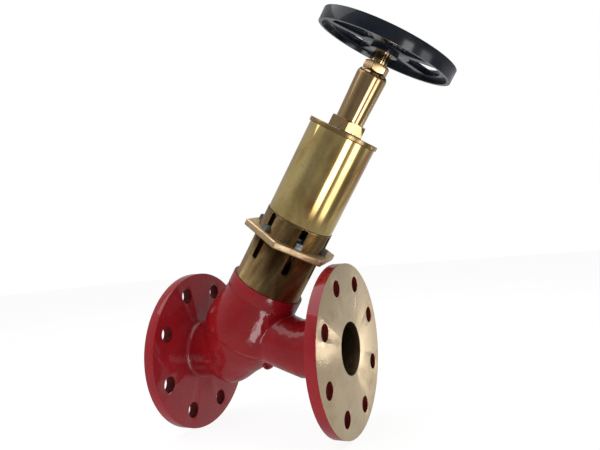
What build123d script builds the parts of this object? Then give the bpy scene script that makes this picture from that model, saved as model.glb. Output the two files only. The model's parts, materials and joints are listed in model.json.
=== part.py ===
from build123d import *
import math
import os

os.makedirs("parts", exist_ok=True)

# An oblique, Y-pattern flanged globe valve with an externally adjusted spring.
# Millimetres. X runs along the pipe from the inlet face to the outlet face, Z is up,
# and the stem leans over towards the outlet in the XZ plane.

# ---- flow path and flanges -------------------------------------------------
face_to_face = 208.4
flange_dia = 185.0
flange_thickness = 12.4
flange_edge_break = 0.7
bolt_circle = 145.0
bolt_hole_dia = 18.0
bolt_count = 8
bore_radius = 28.6
pipe_outer_radius = 32.5
flange_root_radius = 4.0

# ---- stem line -------------------------------------------------------------
stem_angle = 55.8
stem_foot = 60.4
seat_face = 24.0
lift = 14.0

# ---- body casting ----------------------------------------------------------
neck_top = 90.0
neck_radius = 43.9
neck_band = 16.0
bulge_radius = 50.6
bulge_station = 31.0
crease_radius = 48.9
crease_station = 18.5
crease_step = 1.6
bulb_depth = 40.0
bulb_shoulder_radius = 34.0
band_step = 0.7
neck_bore_depth = 20.0
chamber_radius = 38.0
chamber_floor = 22.0
throat_radius = 25.5
inlet_land = 26.0
neck_joint_drop = 11.5
neck_joint_rise = 1.5
inlet_end_radius = 29.3
inlet_root_radius = 5.0
elbow_start = 112.0
duct_start = 150.0
duct_end_x = 104.0
duct_end_z = 18.0
duct_end_bore = 27.0
duct_wall = 5.0
lug_x = 102.5
lug_z = -17.5
lug_width = 14.0
lug_drop = 12.0
lug_hole_drop = 2.2
lug_thickness = 7.0
lug_hole_dia = 3.2

# ---- seat and disc ---------------------------------------------------------
seat_ring_radius = 29.0
seat_lip_radius = 31.5
seat_lip_height = 2.0
seat_ring_depth = 10.0
seat_gasket_height = 1.5
thread_clearance = 0.04
disc_radius = 31.0
disc_thickness = 8.0
disc_lip = 3.0
disc_back_chamfer = 2.0
seal_thickness = 4.0
seal_outer_radius = 29.8
seal_inner_radius = 21.9
seal_grip = 1.6
retainer_thickness = 2.0
retainer_nut_height = 7.0
retainer_nut_flats = 24.0
disc_stem_radius = 12.0
disc_stem_tip_radius = 8.0
disc_stem_tail = 3.0

# ---- guide plate at the foot of the barrel --------------------------------
guide_thickness = 6.0
guide_boss_height = 12.0
guide_boss_radius = 19.0
running_clearance = 0.05
seal_ring_section = 3.0
seal_ring_inset = 0.4
body_joint_thickness = 1.5

# ---- slotted spring barrel -------------------------------------------------
barrel_radius = 40.6
barrel_bore = 34.0
barrel_length = 98.8
spigot_height = 15.0
spigot_clearance = 0.1
slot_count = 6
slot_angle = 39.0
slot_width = 8.0
slot_rise = 41.9
slot_length = 56.0
slot_corner = 2.5
barrel_lead_in = 1.0

# ---- adjusting ring and spring carrier ------------------------------------
ring_setting = 68.4
ring_thickness = 7.7
ring_corner_radius = 58.3
ring_angle = 10.0
ring_edge_break = 0.9
carrier_clearance = 0.4
carrier_thickness = 6.6
carrier_hole_radius = 14.0
lug_reach = 45.5
lug_side_gap = 0.35
face_gap = 0.05
ring_up_travel = 12.0
ring_down_travel = 33.0
spring_seat_thickness = 2.0

# ---- spring ----------------------------------------------------------------
spring_wire_radius = 3.4
spring_clearance = 3.6
spring_turns = 7.0
spring_end_gap = 0.35

# ---- spring plate on the disc stem -----------------------------------------
plate_drop = 34.0
plate_thickness = 6.0
plate_clearance = 1.0
stem_top_radius = 10.0
stem_nut_height = 8.0
stem_nut_flats = 24.0
thrust_pad_radius = 8.0
thrust_pad_height = 3.0

# ---- sleeve and cap --------------------------------------------------------
sleeve_radius = 39.8
sleeve_wall = 3.5
sleeve_length = 107.7
cap_thickness = 5.0
cap_overhang = 1.7
cap_skirt_height = 9.0
cap_skirt_wall = 5.0
cap_hole_radius = 20.0
set_screw_dia = 5.0

# ---- bonnet ----------------------------------------------------------------
bonnet_gasket_thickness = 1.0
hex_flats = 39.5
hex_height = 12.0
hex_angle = 23.0
column_foot_radius = 16.2
column_head_radius = 17.6
column_height = 59.0
column_shoulder = 6.0
column_shoulder_inset = 3.4
bonnet_spigot_height = 9.0
bonnet_bore = 15.0
bonnet_bore_depth = 7.0
packing_radius = 12.6
packing_depth = 25.0

# ---- spindle and gland -----------------------------------------------------
spindle_thread_radius = 10.4
spindle_radius = 9.8
collar_radius = 12.6
collar_height = 6.0
spindle_tip_radius = 7.0
spindle_tip_height = 2.0
spindle_thread_relief = 16.0
packing_washer_thickness = 3.0
packing_ring_height = 4.0
packing_ring_count = 3
gland_nut_height = 10.0
gland_nut_flats = 25.5
gland_edge_break = 1.4
wheel_square = 13.0
wheel_stud_radius = 6.0

# ---- handwheel -------------------------------------------------------------
wheel_gap = 12.7
wheel_height = 14.5
wheel_radius = 79.5
wheel_rim_wall = 4.2
wheel_rim_rounding = 1.6
web_recess = 4.6
web_thickness = 7.4
hub_radius = 16.5
hub_height = 16.0
window_inner_radius = 29.0
window_outer_radius = 65.0
window_corner = 5.0
spoke_count = 5
spoke_width = 13.0
spoke_angle = 8.0
wheel_washer_radius = 13.0
wheel_washer_thickness = 1.6
wheel_nut_flats = 18.0
wheel_nut_height = 8.0
stud_show = 2.0

# ---- planes ----------------------------------------------------------------
lean = math.radians(stem_angle)
stem = Plane(
    origin=(stem_foot, 0, 0),
    x_dir=(0, -1, 0),
    z_dir=(math.cos(lean), 0, math.sin(lean)),
)
stem_axis = Axis(stem.origin, stem.z_dir)
stem_section = Plane(origin=stem.origin, x_dir=stem.x_dir, z_dir=-stem.y_dir)


def across(station):
    # A plane square to the stem, at a distance along it from the pipe's centre line.
    return stem.offset(station)


def across_corners(flats):
    return flats / math.sqrt(3)


# ---- sizes that follow from the ones above ---------------------------------
flange_radius = flange_dia / 2
outlet_face = face_to_face
neck_joint = neck_top - neck_joint_drop
neck_floor = pipe_outer_radius + flange_root_radius + neck_joint_rise
body_ledge = neck_top - neck_bore_depth
guide_bottom = body_ledge
guide_top = guide_bottom + guide_thickness
barrel_bottom = guide_top + body_joint_thickness
barrel_top = barrel_bottom + barrel_length
spigot_radius = sleeve_radius - sleeve_wall - spigot_clearance
slot_bottom = barrel_bottom + slot_rise
slot_top = slot_bottom + slot_length
ring_bottom = barrel_bottom + ring_setting
ring_top = ring_bottom + ring_thickness
carrier_radius = barrel_bore - carrier_clearance
carrier_bottom = ring_top + face_gap
carrier_top = carrier_bottom + carrier_thickness
spring_foot = carrier_top + spring_seat_thickness
spring_mean_radius = barrel_bore - spring_clearance - spring_wire_radius
disc_bottom = seat_face + seal_thickness
disc_top = disc_bottom + disc_thickness
retainer_bottom = seat_face - retainer_thickness
sleeve_top = barrel_top + sleeve_length
plate_bottom = sleeve_top - plate_drop
plate_radius = barrel_bore - plate_clearance
plate_top = plate_bottom + plate_thickness
stem_nut_top = plate_top + stem_nut_height
thrust_top = stem_nut_top + 1.0 + thrust_pad_height
cap_top = sleeve_top + cap_thickness
hex_bottom = cap_top + bonnet_gasket_thickness
hex_top = hex_bottom + hex_height
bonnet_bore_top = hex_bottom + bonnet_bore_depth
column_top = hex_top + column_height
packing_bottom = column_top - packing_depth
spindle_thread_top = packing_bottom - spindle_thread_relief
gland_top = column_top + gland_nut_height
spindle_bottom = thrust_top + face_gap
collar_bottom = spindle_bottom + spindle_tip_height
collar_top = collar_bottom + collar_height
packing_top = packing_bottom + packing_washer_thickness + packing_ring_count * packing_ring_height
wheel_bottom = gland_top + wheel_gap
wheel_top = wheel_bottom + wheel_height
hub_top = wheel_bottom + hub_height
wheel_nut_bottom = hub_top + wheel_washer_thickness


# ---- body casting ----------------------------------------------------------
duct_run = duct_start - duct_end_x
duct_drop = duct_end_z
duct_plane = Plane(
    origin=(duct_end_x, 0, duct_end_z),
    x_dir=(0, 1, 0),
    z_dir=(duct_run, 0, -duct_drop),
)
duct_start_plane = Plane(origin=(duct_start, 0, 0), x_dir=(0, 1, 0), z_dir=(1, 0, 0))

with BuildPart() as casting:
    with BuildSketch(Plane.YZ):
        Circle(flange_radius)
    extrude(amount=flange_thickness)
    with BuildSketch(Plane.YZ.offset(outlet_face - flange_thickness)):
        Circle(flange_radius)
    extrude(amount=flange_thickness)
    chamfer(casting.edges().filter_by(GeomType.CIRCLE), flange_edge_break)
    with BuildSketch(Plane.YZ.offset(flange_thickness)):
        Circle(pipe_outer_radius)
    extrude(amount=stem_foot - flange_thickness)
    with BuildSketch(duct_start_plane):
        Circle(pipe_outer_radius)
    extrude(amount=outlet_face - flange_thickness - duct_start)
    with BuildSketch(duct_start_plane):
        Circle(pipe_outer_radius)
    with BuildSketch(duct_plane):
        Circle(duct_end_bore + duct_wall)
    loft()
    with BuildSketch(stem_section):
        with BuildLine():
            Spline(
                (0, -bulb_depth),
                (21, -bulb_depth + 6),
                (bulb_shoulder_radius, -12),
                (crease_radius - crease_step, crease_station - crease_step),
                tangents=((1, 0), (0.35, 1)),
            )
            Line(
                (crease_radius - crease_step, crease_station - crease_step),
                (crease_radius, crease_station),
            )
            Spline(
                (crease_radius, crease_station),
                (bulge_radius, bulge_station),
                (neck_radius + 4.4, 50),
                (neck_radius - band_step, neck_top - neck_band),
                tangents=((0.3, 1), (-0.15, 1)),
            )
            Line((neck_radius - band_step, neck_top - neck_band), (neck_radius, neck_top - neck_band))
            Line((neck_radius, neck_top - neck_band), (neck_radius, neck_top))
            Line((neck_radius, neck_top), (0, neck_top))
            Line((0, neck_top), (0, -bulb_depth))
        make_face()
    revolve(axis=stem_axis)
    flange_roots = casting.edges().filter_by(GeomType.CIRCLE).filter_by(
        lambda e: abs(e.radius - pipe_outer_radius) < 0.01
        and (
            abs(e.arc_center.X - flange_thickness) < 0.01
            or abs(e.arc_center.X - (outlet_face - flange_thickness)) < 0.01
        )
    )
    fillet(flange_roots, flange_root_radius)
    inlet_root = casting.edges().filter_by(GeomType.BSPLINE).filter_by(
        lambda e: abs(e.center().Z) < 3 and e.center().X < stem_foot
    )
    fillet(inlet_root, inlet_root_radius)
    # the small cast lug in the waist below the outlet neck
    with BuildSketch(Plane.XZ.offset(-lug_thickness / 2)):
        with Locations((lug_x, lug_z + lug_drop / 2)):
            Rectangle(lug_width, lug_drop)
        with Locations((lug_x, lug_z)):
            Circle(lug_width / 2)
    extrude(amount=lug_thickness)
    # lower chamber, seat throat, upper chamber and outlet duct
    with BuildSketch(Plane.YZ):
        Circle(bore_radius)
    extrude(amount=inlet_land, mode=Mode.SUBTRACT)
    with BuildSketch(Plane.YZ.offset(inlet_land)):
        Circle(inlet_end_radius)
    extrude(amount=stem_foot - inlet_land, mode=Mode.SUBTRACT)
    with Locations((stem_foot, 0, 0)):
        Sphere(inlet_end_radius, mode=Mode.SUBTRACT)
    with BuildSketch(across(0)):
        Circle(throat_radius)
    extrude(amount=chamber_floor + 1, mode=Mode.SUBTRACT)
    with BuildSketch(across(chamber_floor - seat_ring_depth)):
        Circle(seat_ring_radius + thread_clearance)
    extrude(amount=seat_ring_depth + 1, mode=Mode.SUBTRACT)
    with BuildSketch(across(chamber_floor)):
        Circle(chamber_radius)
    extrude(amount=body_ledge - chamber_floor + 1, mode=Mode.SUBTRACT)
    with BuildSketch(across(body_ledge)):
        Circle(barrel_radius + thread_clearance)
    extrude(amount=neck_bore_depth, mode=Mode.SUBTRACT)
    with BuildSketch(duct_start_plane):
        Circle(bore_radius)
    extrude(amount=outlet_face - duct_start, mode=Mode.SUBTRACT)
    with BuildSketch(duct_start_plane):
        Circle(bore_radius)
    with BuildSketch(duct_plane):
        Circle(duct_end_bore)
    loft(mode=Mode.SUBTRACT)
    with BuildSketch(Plane.XZ.offset(-lug_thickness)):
        with Locations((lug_x, lug_z - lug_hole_drop)):
            Circle(lug_hole_dia / 2)
    extrude(amount=2 * lug_thickness, mode=Mode.SUBTRACT)

# The casting is one piece in use. It is kept as six simple ones that meet on flat cuts.

# ---- bowl under the seat, with the bent passage from the inlet -------------
with BuildPart() as body_bowl:
    add(casting.part)
    split(bisect_by=Plane.YZ.offset(inlet_land), keep=Keep.TOP)
    split(bisect_by=Plane.YZ.offset(elbow_start), keep=Keep.BOTTOM)
    split(bisect_by=across(chamber_floor), keep=Keep.BOTTOM)
body_bowl.part.label = "body_bowl"
export_step(body_bowl.part, "parts/body_bowl.step")

# ---- valve chamber above the seat ------------------------------------------
with BuildPart() as valve_body:
    add(casting.part)
    split(bisect_by=Plane.YZ.offset(inlet_land), keep=Keep.TOP)
    split(bisect_by=Plane.YZ.offset(elbow_start), keep=Keep.BOTTOM)
    split(bisect_by=across(chamber_floor), keep=Keep.TOP)
    split(bisect_by=across(neck_joint), keep=Keep.BOTTOM)
valve_body.part.label = "valve_body"
export_step(valve_body.part, "parts/valve_body.step")

# ---- elbow from the chamber down into the outlet ---------------------------
with BuildPart() as outlet_elbow:
    add(casting.part)
    split(bisect_by=Plane.YZ.offset(elbow_start), keep=Keep.TOP)
    split(bisect_by=Plane.YZ.offset(duct_start), keep=Keep.BOTTOM)
    split(bisect_by=across(neck_joint), keep=Keep.BOTTOM)
outlet_elbow.part.label = "outlet_elbow"
export_step(outlet_elbow.part, "parts/outlet_elbow.step")

# ---- neck of the chamber, that takes the barrel ----------------------------
with BuildPart() as body_neck:
    add(casting.part)
    split(bisect_by=across(neck_joint), keep=Keep.TOP)
    split(bisect_by=Plane.YZ.offset(outlet_face - flange_thickness), keep=Keep.BOTTOM)
    split(bisect_by=Plane.XY.offset(neck_floor), keep=Keep.TOP)
body_neck.part.label = "body_neck"
export_step(body_neck.part, "parts/body_neck.step")

# ---- inlet neck ------------------------------------------------------------
with BuildPart() as inlet_neck:
    add(casting.part)
    split(bisect_by=Plane.YZ.offset(inlet_land), keep=Keep.BOTTOM)
    split(bisect_by=Plane.YZ.offset(flange_thickness), keep=Keep.TOP)
inlet_neck.part.label = "inlet_neck"
export_step(inlet_neck.part, "parts/inlet_neck.step")

# ---- outlet neck -----------------------------------------------------------
with BuildPart() as outlet_neck:
    add(casting.part)
    split(bisect_by=Plane.YZ.offset(duct_start), keep=Keep.TOP)
    split(bisect_by=Plane.YZ.offset(outlet_face - flange_thickness), keep=Keep.BOTTOM)
    split(bisect_by=Plane.XY.offset(neck_floor), keep=Keep.BOTTOM)
outlet_neck.part.label = "outlet_neck"
export_step(outlet_neck.part, "parts/outlet_neck.step")

# ---- inlet flange, cast in one with the body -------------------------------
with BuildPart() as inlet_flange:
    with BuildSketch(Plane.YZ):
        Circle(flange_radius)
    extrude(amount=flange_thickness)
    chamfer(inlet_flange.edges().filter_by(GeomType.CIRCLE), flange_edge_break)
    with BuildSketch(Plane.YZ):
        Circle(bore_radius)
        with PolarLocations(bolt_circle / 2, bolt_count, start_angle=180 / bolt_count):
            Circle(bolt_hole_dia / 2)
    extrude(amount=flange_thickness, mode=Mode.SUBTRACT)
inlet_flange.part.label = "inlet_flange"
export_step(inlet_flange.part, "parts/inlet_flange.step")

# ---- outlet flange, cast in one with the body ------------------------------
with BuildPart() as outlet_flange:
    with BuildSketch(Plane.YZ.offset(outlet_face - flange_thickness)):
        Circle(flange_radius)
    extrude(amount=flange_thickness)
    chamfer(outlet_flange.edges().filter_by(GeomType.CIRCLE), flange_edge_break)
    with BuildSketch(Plane.YZ.offset(outlet_face - flange_thickness)):
        Circle(bore_radius)
        with PolarLocations(bolt_circle / 2, bolt_count, start_angle=180 / bolt_count):
            Circle(bolt_hole_dia / 2)
    extrude(amount=flange_thickness, mode=Mode.SUBTRACT)
outlet_flange.part.label = "outlet_flange"
export_step(outlet_flange.part, "parts/outlet_flange.step")


# ---- seat ring, screwed into the throat ------------------------------------
with BuildPart() as seat_ring:
    with BuildSketch(across(chamber_floor - seat_ring_depth + seat_gasket_height)):
        Circle(seat_ring_radius)
        Circle(throat_radius, mode=Mode.SUBTRACT)
    extrude(amount=seat_ring_depth - seat_gasket_height)
    with BuildSketch(across(chamber_floor)):
        Circle(seat_lip_radius)
        Circle(throat_radius, mode=Mode.SUBTRACT)
    extrude(amount=seat_lip_height - face_gap)
seat_ring.part.label = "seat_ring"
export_step(seat_ring.part, "parts/seat_ring.step")

with BuildPart() as seat_gasket:
    with BuildSketch(across(chamber_floor - seat_ring_depth)):
        Circle(seat_ring_radius)
        Circle(throat_radius, mode=Mode.SUBTRACT)
    extrude(amount=seat_gasket_height)
seat_gasket.part.label = "seat_gasket"
export_step(seat_gasket.part, "parts/seat_gasket.step")

# ---- disc, its rubber face and what clamps it ------------------------------
with BuildPart() as disc:
    with BuildSketch(across(disc_bottom)):
        Circle(disc_radius)
    extrude(amount=disc_thickness)
    with BuildSketch(across(disc_bottom - disc_lip)):
        Circle(disc_radius)
        Circle(seal_outer_radius + face_gap, mode=Mode.SUBTRACT)
    extrude(amount=disc_lip)
    with BuildSketch(across(disc_bottom)):
        Circle(disc_stem_tip_radius + face_gap)
    extrude(amount=disc_thickness, mode=Mode.SUBTRACT)
    disc_back = disc.faces().sort_by(stem_axis)[-1]
    chamfer(disc_back.edges().filter_by(GeomType.CIRCLE).sort_by(SortBy.RADIUS)[-1], disc_back_chamfer)
disc.part.label = "disc"
export_step(disc.part, "parts/disc.step")

with BuildPart() as disc_seal:
    with BuildSketch(across(seat_face)):
        Circle(seal_outer_radius)
        Circle(seal_inner_radius + face_gap, mode=Mode.SUBTRACT)
    extrude(amount=seal_thickness)
disc_seal.part.label = "disc_seal"
export_step(disc_seal.part, "parts/disc_seal.step")

with BuildPart() as seal_retainer:
    with BuildSketch(across(seat_face)):
        Circle(seal_inner_radius)
        Circle(disc_stem_tip_radius + face_gap, mode=Mode.SUBTRACT)
    extrude(amount=seal_thickness)
    with BuildSketch(across(retainer_bottom)):
        Circle(seal_inner_radius + seal_grip)
        Circle(disc_stem_tip_radius + face_gap, mode=Mode.SUBTRACT)
    extrude(amount=retainer_thickness)
seal_retainer.part.label = "seal_retainer"
export_step(seal_retainer.part, "parts/seal_retainer.step")

with BuildPart() as retainer_nut:
    with BuildSketch(across(retainer_bottom - retainer_nut_height)):
        RegularPolygon(across_corners(retainer_nut_flats), 6)
        Circle(disc_stem_tip_radius + face_gap, mode=Mode.SUBTRACT)
    extrude(amount=retainer_nut_height)
retainer_nut.part.label = "retainer_nut"
export_step(retainer_nut.part, "parts/retainer_nut.step")

# ---- disc stem, from the disc to the spring plate --------------------------
with BuildPart() as disc_stem:
    with BuildSketch(across(retainer_bottom - retainer_nut_height - disc_stem_tail)):
        Circle(disc_stem_tip_radius)
    extrude(amount=retainer_nut_height + disc_stem_tail + retainer_thickness + seal_thickness + disc_thickness)
    with BuildSketch(across(disc_top)):
        Circle(disc_stem_radius)
    extrude(amount=plate_bottom - disc_top)
    with BuildSketch(across(plate_bottom)):
        Circle(stem_top_radius)
    extrude(amount=stem_nut_top + 1.0 - plate_bottom)
disc_stem.part.label = "disc_stem"
export_step(disc_stem.part, "parts/disc_stem.step")

with BuildPart() as spring_plate:
    with BuildSketch(across(plate_bottom)):
        Circle(plate_radius)
        Circle(stem_top_radius + face_gap, mode=Mode.SUBTRACT)
    extrude(amount=plate_thickness)
    chamfer(spring_plate.edges().filter_by(GeomType.CIRCLE).sort_by(SortBy.RADIUS)[-2:], 1)
spring_plate.part.label = "spring_plate"
export_step(spring_plate.part, "parts/spring_plate.step")

with BuildPart() as stem_nut:
    with BuildSketch(across(plate_top)):
        RegularPolygon(across_corners(stem_nut_flats), 6)
        Circle(stem_top_radius + face_gap, mode=Mode.SUBTRACT)
    extrude(amount=stem_nut_height)
stem_nut.part.label = "stem_nut"
export_step(stem_nut.part, "parts/stem_nut.step")

with BuildPart() as thrust_pad:
    with BuildSketch(across(stem_nut_top + 1.0)):
        Circle(thrust_pad_radius)
    extrude(amount=thrust_pad_height)
    chamfer(thrust_pad.faces().sort_by(stem_axis)[-1].edges(), 0.8)
thrust_pad.part.label = "thrust_pad"
export_step(thrust_pad.part, "parts/thrust_pad.step")

# ---- guide plate and its sealing rings -------------------------------------
guide_bore = disc_stem_radius + running_clearance
with BuildPart() as guide_plate:
    with BuildSketch(across(guide_bottom)):
        Circle(barrel_radius)
    extrude(amount=guide_thickness)
    with BuildSketch(across(guide_top)):
        Circle(guide_boss_radius)
    extrude(amount=guide_boss_height)
    with BuildSketch(across(guide_bottom)):
        Circle(guide_bore)
    extrude(amount=guide_thickness + guide_boss_height, mode=Mode.SUBTRACT)
    for ring_station in (guide_bottom + 2 * seal_ring_section, guide_top + guide_boss_height - 2 * seal_ring_section):
        with BuildSketch(across(ring_station - seal_ring_section / 2)):
            Circle(guide_bore + seal_ring_section)
            Circle(guide_bore - running_clearance, mode=Mode.SUBTRACT)
        extrude(amount=seal_ring_section, mode=Mode.SUBTRACT)
guide_plate.part.label = "guide_plate"
export_step(guide_plate.part, "parts/guide_plate.step")

with BuildPart() as guide_seals:
    for ring_station in (guide_bottom + 2 * seal_ring_section, guide_top + guide_boss_height - 2 * seal_ring_section):
        with BuildSketch(across(ring_station - seal_ring_section / 2)):
            Circle(guide_bore + seal_ring_section)
            Circle(guide_bore + seal_ring_inset, mode=Mode.SUBTRACT)
        extrude(amount=seal_ring_section)
guide_seals.part.label = "guide_seals"
export_step(guide_seals.part, "parts/guide_seals.step")

with BuildPart() as barrel_gasket:
    with BuildSketch(across(guide_top)):
        Circle(barrel_radius)
        Circle(barrel_bore, mode=Mode.SUBTRACT)
    extrude(amount=body_joint_thickness)
barrel_gasket.part.label = "barrel_gasket"
export_step(barrel_gasket.part, "parts/barrel_gasket.step")

# ---- slotted barrel, threaded outside --------------------------------------
with BuildPart() as spring_barrel:
    with BuildSketch(across(barrel_bottom)):
        Circle(barrel_radius)
    extrude(amount=barrel_top - barrel_bottom)
    with BuildSketch(across(barrel_top)):
        Circle(spigot_radius)
    extrude(amount=spigot_height)
    with BuildSketch(across(barrel_bottom)):
        Circle(barrel_bore)
    extrude(amount=barrel_top + spigot_height - barrel_bottom, mode=Mode.SUBTRACT)
    for slot_index in range(slot_count):
        turn = math.radians(slot_angle + slot_index * 360 / slot_count)
        outward = stem.x_dir * math.cos(turn) + stem.y_dir * math.sin(turn)
        slot_plane = Plane(origin=stem.origin, x_dir=stem.z_dir, z_dir=outward)
        with BuildSketch(slot_plane):
            with Locations(((slot_bottom + slot_top) / 2, 0)):
                RectangleRounded(slot_top - slot_bottom, slot_width, slot_corner)
        extrude(amount=barrel_radius + 1, mode=Mode.SUBTRACT)
spring_barrel.part.label = "spring_barrel"
export_step(spring_barrel.part, "parts/spring_barrel.step")

# ---- hexagonal adjusting ring ----------------------------------------------
with BuildPart() as adjusting_ring:
    with BuildSketch(across(ring_bottom)):
        RegularPolygon(ring_corner_radius, 6, rotation=ring_angle)
    extrude(amount=ring_thickness)
    chamfer(adjusting_ring.edges(), ring_edge_break)
    with BuildSketch(across(ring_bottom)):
        Circle(barrel_radius + running_clearance)
    extrude(amount=ring_thickness, mode=Mode.SUBTRACT)
adjusting_ring.part.label = "adjusting_ring"
export_step(adjusting_ring.part, "parts/adjusting_ring.step")

# ---- spring carrier, its lugs reaching out through the slots ---------------
with BuildPart() as spring_carrier:
    with BuildSketch(across(carrier_bottom)):
        Circle(carrier_radius)
        with PolarLocations(0, slot_count, start_angle=slot_angle):
            Rectangle(lug_reach, slot_width - 2 * lug_side_gap, align=(Align.MIN, Align.CENTER))
        Circle(carrier_hole_radius, mode=Mode.SUBTRACT)
    extrude(amount=carrier_thickness)
spring_carrier.part.label = "spring_carrier"
export_step(spring_carrier.part, "parts/spring_carrier.step")

with BuildPart() as spring_seat:
    with BuildSketch(across(carrier_top)):
        Circle(spring_mean_radius + 2 * spring_wire_radius - 2)
        Circle(spring_mean_radius - 2 * spring_wire_radius + 2, mode=Mode.SUBTRACT)
    extrude(amount=spring_seat_thickness)
spring_seat.part.label = "spring_seat"
export_step(spring_seat.part, "parts/spring_seat.step")

# ---- main spring -----------------------------------------------------------
coil_foot = spring_foot + spring_wire_radius + spring_end_gap
coil_height = plate_bottom - spring_wire_radius - spring_end_gap - coil_foot
with BuildPart() as spring:
    with BuildLine(across(coil_foot)) as coil:
        Helix(coil_height / spring_turns, coil_height, spring_mean_radius, direction=stem.z_dir)
    with BuildSketch(Plane(origin=coil.line @ 0, z_dir=coil.line % 0)):
        Circle(spring_wire_radius)
    sweep(path=coil.line, is_frenet=True)
spring.part.label = "spring"
export_step(spring.part, "parts/spring.step")

# ---- polished sleeve and its cap -------------------------------------------
sleeve_bore = sleeve_radius - sleeve_wall
with BuildPart() as cover_sleeve:
    with BuildSketch(across(barrel_top + face_gap)):
        Circle(sleeve_radius)
        Circle(sleeve_bore, mode=Mode.SUBTRACT)
    extrude(amount=sleeve_top - barrel_top - face_gap)
cover_sleeve.part.label = "cover_sleeve"
export_step(cover_sleeve.part, "parts/cover_sleeve.step")

with BuildPart() as top_cap:
    with BuildSketch(across(sleeve_top)):
        Circle(sleeve_radius + cap_overhang)
    extrude(amount=cap_thickness)
    chamfer(top_cap.edges(), 0.6)
    with BuildSketch(across(sleeve_top - cap_skirt_height)):
        Circle(sleeve_bore - thread_clearance)
        Circle(sleeve_bore - cap_skirt_wall, mode=Mode.SUBTRACT)
    extrude(amount=cap_skirt_height)
    with BuildSketch(across(sleeve_top)):
        Circle(cap_hole_radius + thread_clearance)
    extrude(amount=cap_thickness, mode=Mode.SUBTRACT)
top_cap.part.label = "top_cap"
export_step(top_cap.part, "parts/top_cap.step")

# ---- bonnet: hexagon, round column and threaded spigot ---------------------
with BuildPart() as bonnet:
    with BuildSketch(across(hex_bottom)):
        RegularPolygon(across_corners(hex_flats), 6, rotation=hex_angle)
    extrude(amount=hex_height)
    with BuildSketch(stem_section):
        with BuildLine():
            Polyline(
                (0, hex_bottom),
                (hex_flats, hex_bottom),
                (hex_flats, hex_top - (hex_flats - hex_flats / 2) * math.tan(math.radians(25))),
                (hex_flats / 2 - 0.2, hex_top),
                (0, hex_top),
                close=True,
            )
        make_face()
    revolve(axis=stem_axis, mode=Mode.INTERSECT)
    with BuildSketch(stem_section):
        with BuildLine():
            Polyline(
                (0, hex_top),
                (column_foot_radius, hex_top),
                (column_head_radius, column_top - column_shoulder),
                (column_head_radius - column_shoulder_inset, column_top),
                (0, column_top),
                close=True,
            )
        make_face()
    revolve(axis=stem_axis)
    with BuildSketch(across(hex_bottom - bonnet_spigot_height)):
        Circle(cap_hole_radius)
    extrude(amount=bonnet_spigot_height)
    with BuildSketch(across(hex_bottom - bonnet_spigot_height)):
        Circle(bonnet_bore)
    extrude(amount=bonnet_bore_top - hex_bottom + bonnet_spigot_height, mode=Mode.SUBTRACT)
    with BuildSketch(across(bonnet_bore_top)):
        Circle(spindle_thread_radius + running_clearance)
    extrude(amount=packing_bottom - bonnet_bore_top, mode=Mode.SUBTRACT)
    with BuildSketch(across(packing_bottom)):
        Circle(packing_radius)
    extrude(amount=column_top - packing_bottom, mode=Mode.SUBTRACT)
bonnet.part.label = "bonnet"
export_step(bonnet.part, "parts/bonnet.step")

with BuildPart() as bonnet_gasket:
    with BuildSketch(across(cap_top)):
        Circle(hex_flats / 2 + 0.8)
        Circle(cap_hole_radius + 2 * thread_clearance, mode=Mode.SUBTRACT)
    extrude(amount=bonnet_gasket_thickness)
bonnet_gasket.part.label = "bonnet_gasket"
export_step(bonnet_gasket.part, "parts/bonnet_gasket.step")

# ---- packing box -----------------------------------------------------------
with BuildPart() as packing_washer:
    with BuildSketch(across(packing_bottom)):
        Circle(packing_radius - thread_clearance)
        Circle(spindle_radius + 3 * running_clearance, mode=Mode.SUBTRACT)
    extrude(amount=packing_washer_thickness)
packing_washer.part.label = "packing_washer"
export_step(packing_washer.part, "parts/packing_washer.step")

with BuildPart() as packing_rings:
    for ring_index in range(packing_ring_count):
        ring_foot = packing_bottom + packing_washer_thickness + ring_index * packing_ring_height
        with BuildSketch(across(ring_foot + face_gap)):
            Circle(packing_radius - thread_clearance)
            Circle(spindle_radius + seal_ring_inset, mode=Mode.SUBTRACT)
        extrude(amount=packing_ring_height - 2 * face_gap)
packing_rings.part.label = "packing_rings"
export_step(packing_rings.part, "parts/packing_rings.step")

with BuildPart() as gland_nut:
    with BuildSketch(across(column_top + face_gap)):
        RegularPolygon(across_corners(gland_nut_flats), 6, rotation=hex_angle + 7)
    extrude(amount=gland_nut_height)
    chamfer(gland_nut.edges().filter_by(stem_axis, reverse=True), gland_edge_break)
    with BuildSketch(across(packing_top)):
        Circle(packing_radius - thread_clearance)
    extrude(amount=column_top + face_gap - packing_top)
    with BuildSketch(across(packing_top)):
        Circle(spindle_radius + running_clearance)
    extrude(amount=gland_top + 1 - packing_top, mode=Mode.SUBTRACT)
gland_nut.part.label = "gland_nut"
export_step(gland_nut.part, "parts/gland_nut.step")

# ---- spindle ---------------------------------------------------------------
with BuildPart() as spindle:
    with BuildSketch(across(spindle_bottom)):
        Circle(spindle_tip_radius)
    extrude(amount=spindle_tip_height)
    with BuildSketch(across(collar_bottom)):
        Circle(collar_radius)
    extrude(amount=collar_height)
    with BuildSketch(across(collar_top)):
        Circle(spindle_thread_radius)
    extrude(amount=spindle_thread_top - collar_top)
    with BuildSketch(across(spindle_thread_top)):
        Circle(spindle_radius)
    extrude(amount=wheel_bottom - spindle_thread_top)
    with BuildSketch(across(wheel_bottom)):
        Rectangle(wheel_square, wheel_square)
    extrude(amount=hub_height - stud_show)
    with BuildSketch(across(wheel_bottom)):
        Circle(wheel_stud_radius)
    extrude(amount=hub_height + wheel_washer_thickness + wheel_nut_height + stud_show)
spindle.part.label = "spindle"
export_step(spindle.part, "parts/spindle.step")

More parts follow.
